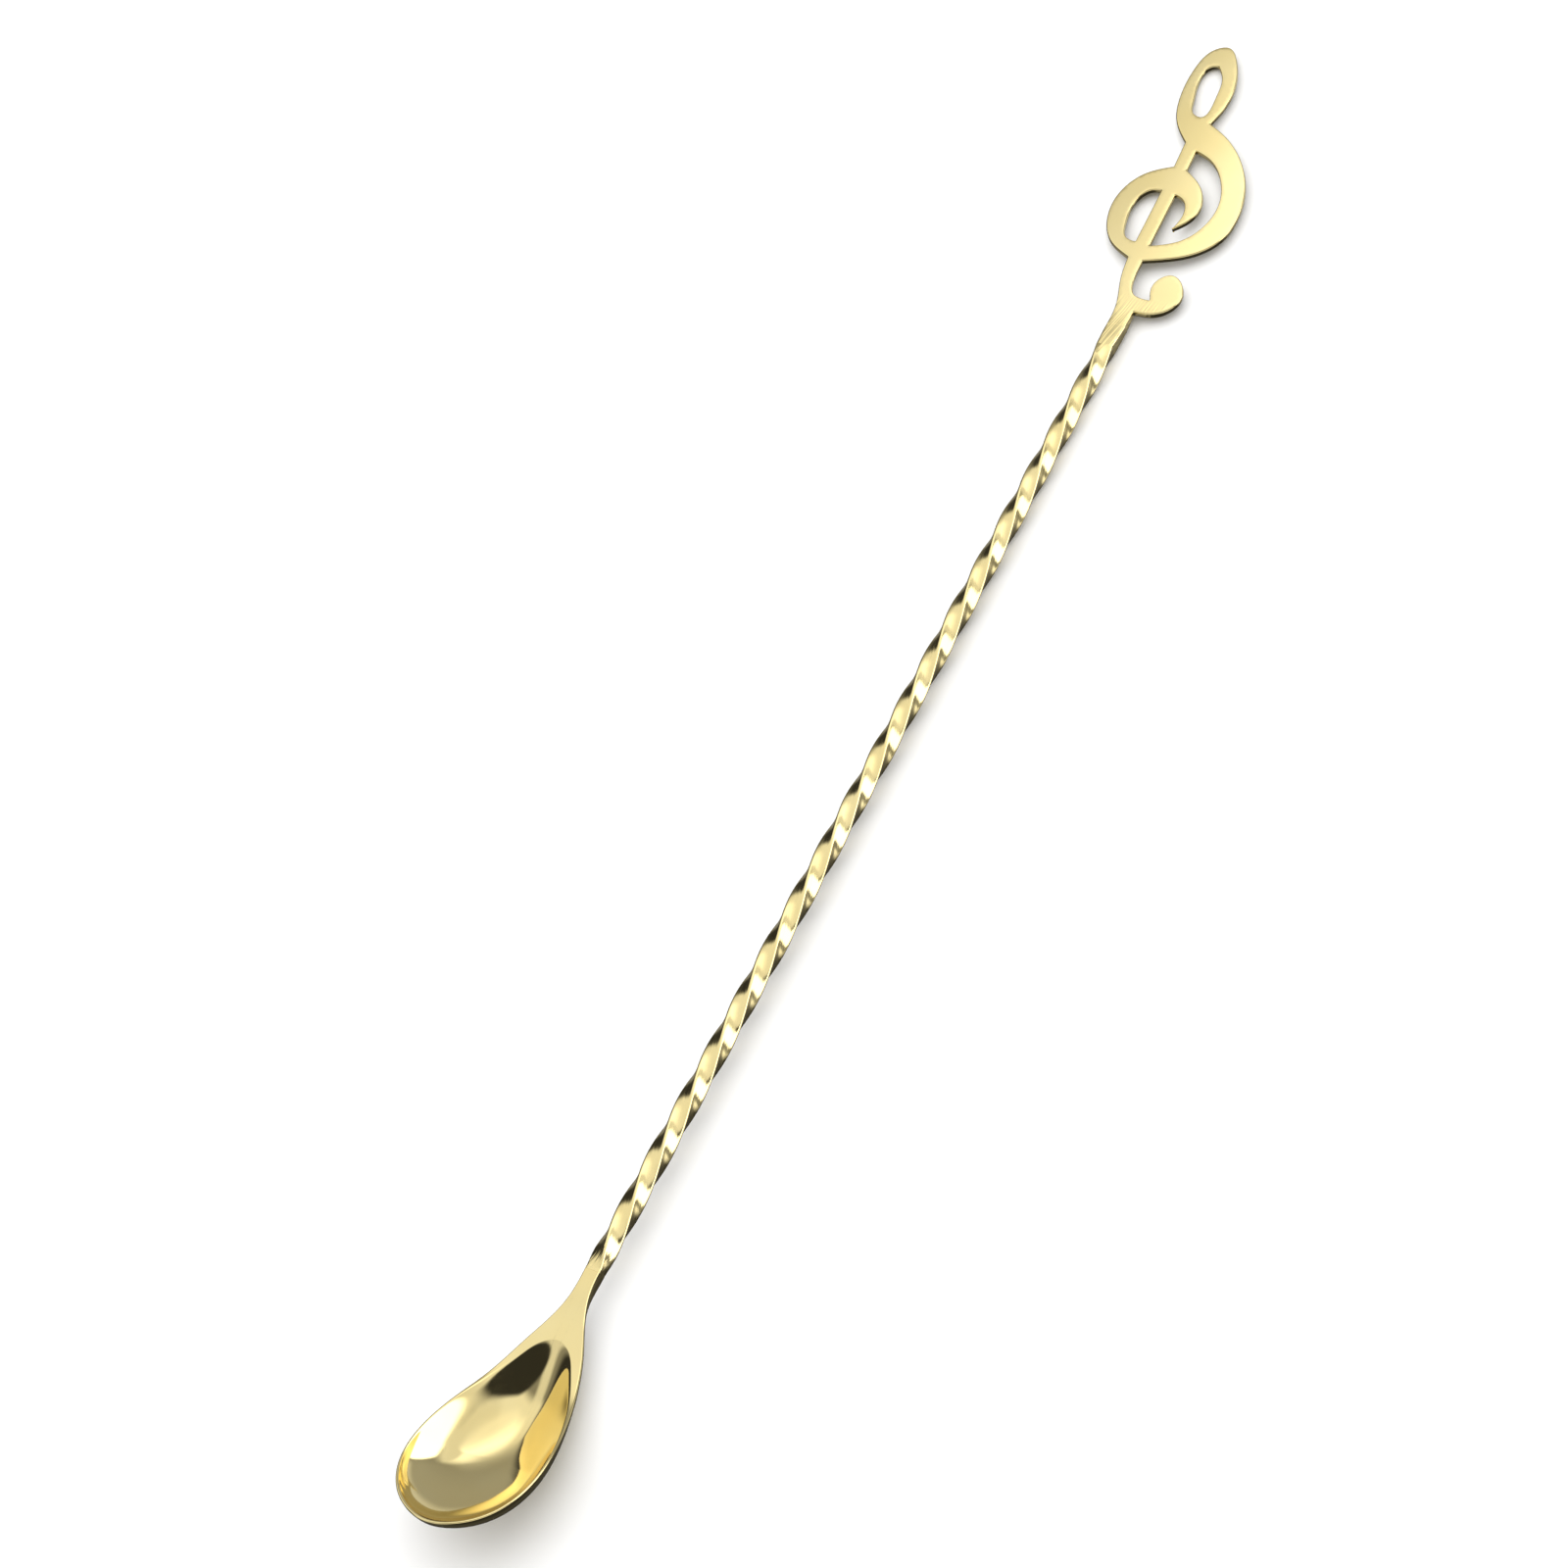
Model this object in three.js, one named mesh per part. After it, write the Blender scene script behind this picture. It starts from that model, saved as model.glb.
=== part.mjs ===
// Bar spoon with a twisted shank and a clef-shaped end plate, all gold-toned stainless steel.
//
// The spoon is laid out in its own frame, in millimetres: the origin is the middle of the shank,
// +Y runs along the shank towards the end plate, +Z is the side that the bowl opens to, and +X is
// to the right. At the end it is laid down as it rests on a table, and moved so that the origin
// is the middle of its box's bottom.

import * as THREE from 'three';

// Shank: square bar, twisted so that its edges rise to the left (a left-handed helix).
const barSide = 3.0;
const barCorner = 0.5;
const quarterPitch = 10.5;
const quarterTurns = 19;
const stepsPerQuarter = 6;
const cornerSegments = 2;
const twistEnd = ( quarterPitch * quarterTurns ) / 2;

// Joints: the ends of the shank and of the welds, along Y. Neighbours keep a hairline joint.
const joint = 0.3;
const lowerWeldSide = 2.8;
const lowerWeldLow = - twistEnd + joint;
const lowerWeldHigh = - 95.6;
const shankLow = lowerWeldHigh + joint;
const shankHigh = 97.2;
const upperWeldLow = shankHigh + joint;
const upperWeldHigh = 104.05;
const upperWeldRows = 6;

// Bowl: the right half of the rim's line, from the tip to the neck. The left half mirrors it.
const rimPoints = [
	[ 0, - 151.9, 8.6 ],
	[ 4.6, - 150.6, 8.3 ],
	[ 8.6, - 147.1, 7.4 ],
	[ 11.0, - 141.8, 6.1 ],
	[ 11.4, - 135.8, 4.5 ],
	[ 10.0, - 128.2, 2.2 ],
	[ 7.9, - 121.6, 0.3 ],
	[ 5.2, - 114.2, - 0.1 ],
	[ 3.2, - 109.8, 0.2 ],
	[ 1.8, - 105.8, 0.7 ],
	[ 1.35, - 102.6, 1.1 ],
	[ 1.35, - twistEnd, 1.25 ],
];
const widest = Math.max( ...rimPoints.map( ( [ x ] ) => x ) );

// The hollow is a rounded dish that starts at an arch across the flat neck. The bowl's section is
// a full ellipse at the tip and shallower towards the neck, where the sheet thickens into a bar.
const bowlDepth = 7.2;
const archStart = - 113.2;
const archLength = 9;
const archPower = 0.6;
const tipRoundness = 0.58;
const neckRoundness = 0.8;
const roundnessChange = [ - 138, - 118 ];
const bowlFloor = 1.0;
const floorChange = [ - 122, - 104 ];
const rimEdge = 0.8;
const edgeChange = [ - 109, - 101 ];
const undersideFullness = 4;
const narrowestHollow = 0.1;
const rimLand = 0.7;
const narrowLand = 0.3;
const neckThickness = 2.5;
const bowlRows = 44;
const bowlColumns = 12;
const firstRow = 0.5;

// End plate: a treble clef seen from behind, so that its belly is on the right.
const plateThickness = 1.0;
const plateRoot = upperWeldHigh + joint;
const rootLeft = - 1.85;
const rootRight = 1.7;
const plateCurveSegments = 4;

// How the spoon lies on a table: on the bowl, the shank's far end and the tip of the plate's loop.
const restPitch = THREE.MathUtils.degToRad( - 0.8 );
const restRoll = THREE.MathUtils.degToRad( - 1.73 );

const gold = 0xe6cd86;
const polished = new THREE.MeshStandardMaterial( { color: gold, metalness: 1, roughness: 0.08 } );
const bright = new THREE.MeshStandardMaterial( { color: gold, metalness: 1, roughness: 0.16 } );
const satin = new THREE.MeshStandardMaterial( { color: 0xe3cb8c, metalness: 1, roughness: 0.3 } );
const dressed = new THREE.MeshStandardMaterial( { color: 0xdcc383, metalness: 1, roughness: 0.36 } );

// A bar's section: a square with rounded corners, centred on the shank's axis.
function barShape( side ) {

	const shape = new THREE.Shape();
	const inner = side / 2 - barCorner;
	const centres = [ [ inner, inner ], [ - inner, inner ], [ - inner, - inner ], [ inner, - inner ] ];
	centres.forEach( ( [ x, z ], index ) => {

		const start = index * Math.PI / 2;
		shape.absarc( x, z, barCorner, start, start + Math.PI / 2 );

	} );
	return shape;

}

// The bar's turn about its axis at a place along it: none where the twist ends at the bowl.
function twistAngle( y ) {

	return ( y + twistEnd ) / quarterPitch * Math.PI / 2;

}

// A stretch of twisted bar between two places along Y.
function twistedBar( side, low, high ) {

	const steps = Math.ceil( ( high - low ) / quarterPitch * stepsPerQuarter );
	const options = { depth: high - low, steps, bevelEnabled: false, curveSegments: cornerSegments };
	const geometry = new THREE.ExtrudeGeometry( barShape( side ), options );
	const points = geometry.attributes.position;
	for ( let i = 0; i < points.count; i ++ ) {

		const y = low + points.getZ( i );
		const turn = twistAngle( y );
		const x = points.getX( i );
		const z = - points.getY( i );
		points.setXYZ(
			i,
			x * Math.cos( turn ) - z * Math.sin( turn ),
			y,
			x * Math.sin( turn ) + z * Math.cos( turn ),
		);

	}

	return geometry;

}

// A closed skin over a row of rings that all have the same number of points. The rings follow
// one another along +Y, and each one runs clockwise as seen from its far side.
function skin( rings ) {

	const size = rings[ 0 ].length;
	const positions = rings.flat().flatMap( ( point ) => point.toArray() );
	const index = [];
	for ( let row = 0; row < rings.length - 1; row ++ ) {

		for ( let column = 0; column < size; column ++ ) {

			const next = ( column + 1 ) % size;
			const a = row * size + column;
			const b = row * size + next;
			index.push( a, b, a + size, b, b + size, a + size );

		}

	}

	const last = ( rings.length - 1 ) * size;
	for ( const [ start, flip ] of [ [ 0, false ], [ last, true ] ] ) {

		const outline = rings[ start / size ].map( ( point ) => new THREE.Vector2( point.x, point.z ) );
		for ( const [ a, b, c ] of THREE.ShapeUtils.triangulateShape( outline, [] ) ) {

			index.push( start + a, start + ( flip ? c : b ), start + ( flip ? b : c ) );

		}

	}

	const geometry = new THREE.BufferGeometry();
	geometry.setAttribute( 'position', new THREE.Float32BufferAttribute( positions, 3 ) );
	geometry.setIndex( index );
	geometry.computeVertexNormals();
	return geometry;

}

// The whole rim as one smooth line, from the neck's left side round the tip to its right side.
function rimLine() {

	const right = rimPoints.map( ( [ x, y, z ] ) => new THREE.Vector3( x, y, z ) );
	const left = rimPoints.slice( 1 ).reverse().map( ( [ x, y, z ] ) => new THREE.Vector3( - x, y, z ) );
	return new THREE.CatmullRomCurve3( [ ...left, ...right ] );

}

// One cross-section of the bowl and neck, through the rim's point at that place.
function bowlSection( rim ) {

	const { smoothstep, lerp, clamp } = THREE.MathUtils;
	const roundness = lerp( tipRoundness, neckRoundness, smoothstep( rim.y, ...roundnessChange ) );
	const floor = lerp( bowlFloor, neckThickness, smoothstep( rim.y, ...floorChange ) );
	const edge = lerp( rimEdge, neckThickness, smoothstep( rim.y, ...edgeChange ) );
	const fullness = ( rim.x / widest ) ** ( 2 * roundness );
	const pastArch = clamp( ( archStart - rim.y ) / archLength, 0, 1 );
	const arch = ( 1 - ( 1 - pastArch ) ** 2 ) ** archPower;
	const hollow = ( rim.x - Math.min( rimLand, rim.x * narrowLand ) ) * Math.max( arch, narrowestHollow );
	const inside = bowlDepth * fullness * arch;
	const outside = inside + ( floor - edge ) * Math.min( 1, fullness * undersideFullness );
	const sag = ( q ) => Math.max( 0, 1 - q * q ) ** roundness;

	const ring = [];
	const add = ( x, z ) => ring.push( new THREE.Vector3( x, rim.y, z ) );
	const across = ( column ) => Math.cos( Math.PI * column / bowlColumns );
	add( rim.x, rim.z );
	for ( let column = 0; column <= bowlColumns; column ++ ) {

		const q = across( column );
		add( q * hollow, rim.z - inside * sag( q ) );

	}

	add( - rim.x, rim.z );
	for ( let column = bowlColumns; column >= 0; column -- ) {

		const q = across( column );
		add( q * rim.x, rim.z - edge - outside * sag( q ) );

	}

	return ring.reverse();

}

// The bowl with its neck: sections from just inside the tip to the neck's end.
function bowlGeometry() {

	const line = rimLine();
	const rings = [];
	for ( let row = 0; row <= bowlRows; row ++ ) {

		const share = Math.max( firstRow, row ) / bowlRows;
		rings.push( bowlSection( line.getPointAt( ( 1 + share ) / 2 ) ) );

	}

	return skin( rings );

}

function planePoints( list ) {

	return list.map( ( [ x, y ] ) => new THREE.Vector2( x, y ) );

}

// The plate's outline, anticlockwise from the top of its loop: the loop's left side, the ring, the
// tail with its round end, the belly and the loop's right side.
function clefOutline() {

	const shape = new THREE.Shape();
	const curve = ( ...points ) => shape.splineThru( planePoints( points ) );
	shape.moveTo( - 7.6, 173.2 );
	curve( [ - 10.2, 172.2 ], [ - 11.9, 168.2 ], [ - 11.9, 161.0 ], [ - 9.6, 153.5 ], [ - 5.8, 148.9 ] );
	shape.lineTo( - 5.4, 142.8 );
	curve( [ - 10.4, 140.1 ], [ - 13.1, 135.2 ], [ - 12.7, 128.9 ], [ - 9.4, 123.3 ], [ - 4.6, 120.3 ] );
	curve( [ - 3.9, 115.4 ], [ - 2.3, 109.8 ], [ rootLeft, plateRoot ] );
	shape.lineTo( rootRight, plateRoot );
	shape.lineTo( 1.6, 108.6 );
	curve( [ 5.3, 108.9 ], [ 8.2, 111.4 ], [ 8.1, 115.9 ], [ 4.9, 118.1 ], [ 2.6, 115.6 ], [ 3.4, 111.8 ] );
	curve( [ 0.1, 112.4 ], [ - 1.5, 116.2 ], [ - 1.6, 120.0 ] );
	curve(
		[ 5.6, 122.9 ], [ 9.7, 127.4 ], [ 10.8, 134.4 ], [ 9.3, 141.4 ],
		[ 5.7, 147.4 ], [ 0.9, 151.8 ], [ - 3.1, 154.1 ],
	);
	curve( [ - 2.0, 159.9 ], [ - 2.6, 165.2 ], [ - 4.6, 170.0 ], [ - 7.6, 173.2 ] );
	return shape;

}

// The three openings in the plate: inside the loop, between stem and belly, and inside the ring.
function clefOpenings() {

	const loop = new THREE.Path();
	loop.moveTo( - 7.5, 168.2 );
	loop.splineThru( planePoints( [
		[ - 5.7, 165.6 ], [ - 4.7, 160.2 ], [ - 5.6, 155.4 ], [ - 6.9, 155.8 ],
		[ - 8.8, 159.6 ], [ - 9.8, 164.8 ], [ - 8.9, 167.8 ], [ - 7.5, 168.2 ],
	] ) );

	const belly = new THREE.Path();
	belly.moveTo( - 2.9, 147.2 );
	belly.splineThru( planePoints( [
		[ 0.4, 145.7 ], [ 4.3, 141.6 ], [ 6.4, 135.9 ], [ 6.0, 130.9 ], [ 3.2, 126.1 ], [ - 1.9, 123.6 ],
	] ) );
	belly.lineTo( - 2.3, 136.3 );
	belly.splineThru( planePoints( [ [ - 0.3, 135.3 ], [ 1.1, 132.0 ], [ 0.5, 128.2 ] ] ) );
	belly.splineThru( planePoints( [ [ 2.8, 131.0 ], [ 3.5, 134.7 ], [ 1.6, 139.0 ], [ - 2.7, 142.4 ] ] ) );
	belly.lineTo( - 2.9, 147.2 );

	const ring = new THREE.Path();
	ring.moveTo( - 5.2, 136.9 );
	ring.lineTo( - 4.8, 124.1 );
	ring.splineThru( planePoints( [
		[ - 6.6, 124.6 ], [ - 8.8, 128.9 ], [ - 9.1, 133.4 ], [ - 7.3, 136.5 ], [ - 5.2, 136.9 ],
	] ) );
	return [ loop, belly, ring ];

}

// The clef plate, lying flat with the shank's axis in its middle plane.
function clefGeometry() {

	const shape = clefOutline();
	shape.holes.push( ...clefOpenings() );
	const options = {
		depth: plateThickness,
		bevelEnabled: false,
		curveSegments: plateCurveSegments,
	};
	const geometry = new THREE.ExtrudeGeometry( shape, options );
	geometry.translate( 0, 0, - plateThickness / 2 );
	return geometry;

}

// The upper weld: it runs from the bar's section, turned as the shank ends, to the plate's root.
function upperWeldGeometry() {

	const { smoothstep, lerp } = THREE.MathUtils;
	const bar = barShape( barSide ).extractPoints( cornerSegments ).shape;
	const missing = twistAngle( upperWeldLow ) - twistAngle( twistEnd );
	const rings = [];
	for ( let row = 0; row <= upperWeldRows; row ++ ) {

		const share = row / upperWeldRows;
		const turn = missing * ( 1 - share );
		const width = lerp( 1, ( rootRight - rootLeft ) / barSide, share );
		const height = lerp( 1, plateThickness / barSide, smoothstep( share, 0, 1 ) );
		const middle = ( rootRight + rootLeft ) / 2 * share;
		const y = lerp( upperWeldLow, upperWeldHigh, share );
		rings.push( bar.map( ( point ) => {

			const x = point.x * Math.cos( turn ) - point.y * Math.sin( turn );
			const z = point.x * Math.sin( turn ) + point.y * Math.cos( turn );
			return new THREE.Vector3( middle + x * width, y, z * height );

		} ).reverse() );

	}

	return skin( rings );

}

function piece( name, geometry, material ) {

	const mesh = new THREE.Mesh( geometry, material );
	mesh.name = name;
	return mesh;

}

const spoon = new THREE.Group();
spoon.add( piece( 'bowl', bowlGeometry(), polished ) );
spoon.add( piece( 'lower_weld', twistedBar( lowerWeldSide, lowerWeldLow, lowerWeldHigh ), dressed ) );
spoon.add( piece( 'twisted_shank', twistedBar( barSide, shankLow, shankHigh ), bright ) );
spoon.add( piece( 'upper_weld', upperWeldGeometry(), dressed ) );
spoon.add( piece( 'clef_finial', clefGeometry(), satin ) );

// Lay it down, then put the origin at the middle of its box's bottom.
spoon.rotation.set( restPitch, restRoll, 0 );
const box = new THREE.Box3().setFromObject( spoon, true );
const middle = box.getCenter( new THREE.Vector3() );
spoon.position.set( - middle.x, - middle.y, - box.min.z );

const group = new THREE.Group();
group.add( spoon );

export default group;
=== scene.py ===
import math

import bmesh
import bpy
import numpy as np
from mathutils import Matrix, Vector
from mathutils.geometry import delaunay_2d_cdt


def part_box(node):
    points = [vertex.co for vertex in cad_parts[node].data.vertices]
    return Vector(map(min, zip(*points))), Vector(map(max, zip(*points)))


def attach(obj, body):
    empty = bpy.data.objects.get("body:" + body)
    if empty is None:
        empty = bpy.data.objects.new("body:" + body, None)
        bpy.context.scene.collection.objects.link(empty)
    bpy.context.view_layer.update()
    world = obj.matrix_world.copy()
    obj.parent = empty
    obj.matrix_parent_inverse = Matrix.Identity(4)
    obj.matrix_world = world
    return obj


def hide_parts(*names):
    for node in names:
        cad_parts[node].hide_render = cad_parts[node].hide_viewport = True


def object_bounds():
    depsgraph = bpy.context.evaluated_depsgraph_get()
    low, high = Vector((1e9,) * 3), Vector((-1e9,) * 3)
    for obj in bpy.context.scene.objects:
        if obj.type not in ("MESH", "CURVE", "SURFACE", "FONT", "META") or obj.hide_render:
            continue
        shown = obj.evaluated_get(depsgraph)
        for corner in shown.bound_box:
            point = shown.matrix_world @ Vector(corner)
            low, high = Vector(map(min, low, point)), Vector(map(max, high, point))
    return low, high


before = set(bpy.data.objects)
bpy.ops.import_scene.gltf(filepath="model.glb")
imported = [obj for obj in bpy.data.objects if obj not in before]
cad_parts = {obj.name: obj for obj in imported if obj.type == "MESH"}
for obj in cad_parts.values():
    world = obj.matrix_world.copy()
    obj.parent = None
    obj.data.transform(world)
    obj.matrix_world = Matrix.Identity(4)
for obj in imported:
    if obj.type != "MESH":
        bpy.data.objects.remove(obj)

cad_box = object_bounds()

# ---------------------------------------------------------------- the spoon's dimensions
# Lengths here are in millimetres, in the spoon's own frame: the origin is the middle of the
# shank, +Y runs towards the clef plate, +Z is the side that the bowl opens to.

MM = 0.001

BAR_SIDE = 3.0
BAR_CORNER = 0.42
CAD_CORNER = 0.5
QUARTER_PITCH = 10.5
TWIST_END = 99.75
FUSE = 0.12
WELD_LAP = 0.9
WELD_PROUD = 0.015
WELD_CORNER = 0.14
WELD_ROWS = (60, 70)
ROOT_LAP = 0.5

LOWER_WELD = (-99.45, -95.6)
SHANK = (-95.3, 97.2)
UPPER_WELD = (97.5, 104.05)

RIM = [
    (0, -151.9, 8.6), (4.6, -150.6, 8.3), (8.6, -147.1, 7.4), (11.0, -141.8, 6.1),
    (11.4, -135.8, 4.5), (10.0, -128.2, 2.2), (7.9, -121.6, 0.3), (5.2, -114.2, -0.1),
    (3.2, -109.8, 0.2), (1.8, -105.8, 0.7), (1.35, -102.6, 1.1), (1.35, -TWIST_END, 1.25),
]
NECK_HALF_WIDTH = 1.35
NECK_THICKNESS = 2.5
HOLLOW = [
    (0, -113.0), (2.4, -114.0), (4.7, -117.2), (7.1, -121.8), (9.5, -127.8),
    (11.05, -135.8), (10.68, -141.7), (8.4, -146.6), (4.5, -150.1), (0, -151.45),
]
DISH_CENTRE = (0, -134.0)
DISH_DEPTH = 6.5
TIP_REACH = 1.012
SIDE_REACH = 1.1
NECK_REACH = 2.0
NECK_SLACK = 0.25
SIDE_POWER = 0.58
CENTRE_BLEND = (0.05, 0.5)
SHEET = 0.85
RIM_EDGE = 0.8

PLATE_THICKNESS = 1.0
PLATE_ROOT = 104.35
ROOT_LEFT = -1.85
ROOT_RIGHT = 1.7
PLATE_ROUND = 0.2
TAIL_TAPER = (95.0, 113.0)
CROWN_RADIUS = 95
CROWN_HALF_WIDTH = 11.0
CROWN_START = (104.5, 122.0)

RIM_SAMPLES = 2000
RIM_ROUND = 0.25
BACK_ROUND = 0.3
BACK_RISE = 0.7
BACK_WALK_POWER = 1.3
HOLLOW_ROUND = 0.22
CENTRE_CURVE = (0.0058, 0.0021)
TIP_TURN = (0.9, 1.6)
REACH_TURN = (1.3, 2.6)
BACK_NECK_POWER = 0.8
BACK_POWER_CHANGE = (-138, -118)
BACK_MIDDLE = -126
ARCH_LENGTH = 9
ARCH_POWER = 0.6
FLOOR_CHANGE = (-122, -104)
EDGE_CHANGE = (-109, -101)
BACK_FULLNESS = 4
BOWL_RAYS = 170
DISH_COLUMNS = 40
LAND_COLUMNS = 12
BACK_COLUMNS = 34
NECK_END_POINTS = 40
SPLINE_STEPS = 40
PAST_MIDDLE = 0.5
PAST_ANGLE = 0.2
SHANK_ROWS = 400
OUTLINE_STEP = 0.3
CLEF_CORNER = 0.25
CORNER_STEP_SHARE = 0.95
CORNER_SIDE_SHARE = 0.9
MITRE_LIMIT = 0.5
SHARP = math.radians(24)
SHARP_EDGE = math.radians(50)
ROUND_STEPS = 5
GRID_STEP = 0.6
GRID_ROW = 0.866
GRID_CLEAR = 0.6
MERGE = 1e-7
DEGENERATE = 1e-8
SAME_PLACE = 1e-6

CAMERA_TARGET = (0, -4.15, 0)
CAMERA_AIM = (-13.6, -3.76, 0)
CAMERA_FROM = (0.43, -0.476, 0.767)
CAMERA_DISTANCE = 850
CAMERA_LENS = 117.36
CAMERA_SENSOR = 36
CAMERA_CLIP = (0.05, 50)
CAMERA_LEAN = math.radians(29.372)

REST_PITCH = math.radians(-0.8)
REST_ROLL = math.radians(-1.73)

GRAIN = "grain"
BELT_SLANT = math.radians(10)
BELT_MARKS = (112.5, 109.0)
GOLD = (0.97, 0.82, 0.415)
GOLD_DEEP = (0.95, 0.78, 0.36)
NOISE_RANGE = (0.3, 0.7)

# The floor and the studio, in metres and degrees. A card is an azimuth, an elevation, half a
# width, half a height, a softness and a brightness; a later card covers an earlier one.
FLOOR_RADIUS = 8
FLOOR_SIDES = 96
FLOOR_GAP = 0.00005
FLOOR_COLOUR = (0.88, 0.88, 0.88)
FLOOR_SHADE = 0.98
WALLS = 0.25
CARDS = [
    (-90, 60, 38, 18, 14, 0.75),
    (5, 62, 56, 24, 18, 0.9),
    (2, 51, 21, 8, 27, 1.7),
    (-8, 7, 44, 22, 34, 0.36),
    (0, -90, 34, 34, 20, 0.05),
    (0, -25, 36, 22, 12, 0.6),
    (-155, 5, 30, 34, 14, 0.8),
    (138, 8, 44, 32, 12, 0.9),
    (46, 43, 22, 6, 6, 0.8),
    (63, 12, 22, 21, 6, 2.6),
    (66, -34, 10, 8, 8, 1.5),
    (125, -50, 45, 25, 16, 0.03),
    (146, 62, 50, 15, 7, 0.03),
    (-86, 2, 35, 23, 18, 0.03),
]
FILL_FROM = (-80, 66)
FILL_STRENGTH = 2.7
FILL_ANGLE = math.radians(120)

# The least forward share of a direction that a card divides by, and the sockets of a Mix node
# that mixes colours: its factor, its two colours and its result.
AHEAD = 0.001
MIX_INPUTS = (0, 6, 7)
MIX_OUTPUT = 2


# ---------------------------------------------------------------- curves
def spline(points, count):
    """A smooth natural cubic spline through the points, sampled evenly along its length."""
    p = np.asarray(points, float)
    t = np.concatenate([[0], np.cumsum(np.linalg.norm(np.diff(p, axis=0), axis=1))])
    n, h = len(p), np.diff(t)
    a = np.eye(n)
    b = np.zeros_like(p)
    for i in range(1, n - 1):
        a[i, i - 1 : i + 2] = h[i - 1], 2 * (h[i - 1] + h[i]), h[i]
        b[i] = 6 * ((p[i + 1] - p[i]) / h[i] - (p[i] - p[i - 1]) / h[i - 1])
    m = np.linalg.solve(a, b)

    def at(u):
        k = np.clip(np.searchsorted(t, u, side="right") - 1, 0, n - 2)
        hk, left, right = h[k][:, None], (u - t[k])[:, None], (t[k + 1] - u)[:, None]
        return (
            (m[k] * right**3 + m[k + 1] * left**3) / (6 * hk)
            + (p[k] / hk - m[k] * hk / 6) * right
            + (p[k + 1] / hk - m[k + 1] * hk / 6) * left
        )

    fine_steps = np.linspace(0, t[-1], SPLINE_STEPS * n)
    fine = at(fine_steps)
    length = np.concatenate([[0], np.cumsum(np.linalg.norm(np.diff(fine, axis=0), axis=1))])
    return at(np.interp(np.linspace(0, length[-1], count), length, fine_steps))


def smoothstep(x, low, high):
    """From 0 at low to 1 at high, level at both ends."""
    t = np.clip((x - low) / (high - low), 0, 1)
    return t * t * (3 - 2 * t)


def bar_section(side, corner, corner_steps=7, flat_steps=6):
    """A square with rounded corners, anticlockwise in (x, z)."""
    points = []
    inner = side / 2 - corner
    for quarter, (sx, sz) in enumerate([(1, 1), (-1, 1), (-1, -1), (1, -1)]):
        for k in range(corner_steps):
            angle = (quarter + k / (corner_steps - 1)) * math.pi / 2
            x = sx * inner + corner * math.cos(angle)
            z = sz * inner + corner * math.sin(angle)
            points.append((x, z))
        next_x, next_z = [(-1, 1), (-1, -1), (1, -1), (1, 1)][quarter]
        end_angle = (quarter + 1) * math.pi / 2
        start = np.array(points[-1])
        end = np.array([
            next_x * inner + corner * math.cos(end_angle),
            next_z * inner + corner * math.sin(end_angle),
        ])
        points += [tuple(start + (end - start) * k / flat_steps) for k in range(1, flat_steps)]
    return np.array(points)


# ---------------------------------------------------------------- meshes
def lay_matrix():
    """How the spoon lies in the row frame: its rest turn, then the place of the CAD shank."""
    turn = Matrix.Rotation(REST_PITCH, 4, "X") @ Matrix.Rotation(REST_ROLL, 4, "Y")
    section = bar_section(BAR_SIDE, CAD_CORNER)
    rows = twist_rows(section, SHANK[0], SHANK[1], SHANK_ROWS)
    points = np.array(rows).reshape(-1, 3) * MM
    turned = points @ np.array(turn.to_3x3()).T
    low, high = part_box("twisted_shank")
    shift = (low + high) / 2 - Vector((turned.min(0) + turned.max(0)) / 2)
    return Matrix.Translation(shift) @ turn


def twist_angle(y):
    """The bar's turn at a place along it: none where the neck begins."""
    return (y + TWIST_END) / QUARTER_PITCH * math.pi / 2


def turn_section(section, angle):
    turn = np.array([[math.cos(angle), -math.sin(angle)], [math.sin(angle), math.cos(angle)]])
    return section @ turn.T


def twist_rows(section, low, high, steps):
    """Rings of points (x, y, z): the section carried along the bar and turned with it."""
    rows = []
    for y in np.linspace(low, high, steps + 1):
        turned = turn_section(section, twist_angle(y))
        rows.append([(x, y, z) for x, z in turned])
    return rows


def mesh_object(name, points, faces, straight=None):
    """
    An object from points in millimetres in the spoon's frame, laid down in the row frame. The
    points of the straight bar, where they are given, are kept on the mesh for its grain.
    """
    mesh = bpy.data.meshes.new(name)
    mesh.from_pydata((np.asarray(points) * MM).tolist(), [], faces)
    if straight is not None:
        grain = mesh.attributes.new(GRAIN, "FLOAT_VECTOR", "POINT")
        grain.data.foreach_set("vector", (np.asarray(straight) * MM).ravel())
    mesh.transform(LAY)
    bm = bmesh.new()
    bm.from_mesh(mesh)
    bmesh.ops.remove_doubles(bm, verts=bm.verts, dist=MERGE)
    bmesh.ops.dissolve_degenerate(bm, edges=bm.edges, dist=DEGENERATE)
    bmesh.ops.recalc_face_normals(bm, faces=bm.faces)
    bm.to_mesh(mesh)
    bm.free()
    mesh.validate()
    mesh.polygons.foreach_set("use_smooth", [True] * len(mesh.polygons))
    mesh.set_sharp_from_angle(angle=SHARP_EDGE)
    piece = bpy.data.objects.new(name, mesh)
    bpy.context.scene.collection.objects.link(piece)
    return piece


def skin(rings):
    """Points and faces of a closed tube over rings with the same number of points."""
    size = len(rings[0])
    points = [p for ring in rings for p in ring]
    faces = []
    for r in range(len(rings) - 1):
        for k in range(size):
            n = (k + 1) % size
            faces.append((r * size + k, r * size + n, (r + 1) * size + n, (r + 1) * size + k))
    faces.append(tuple(range(size)))
    faces.append(tuple(range((len(rings) - 1) * size, len(rings) * size)))
    return points, faces


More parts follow.
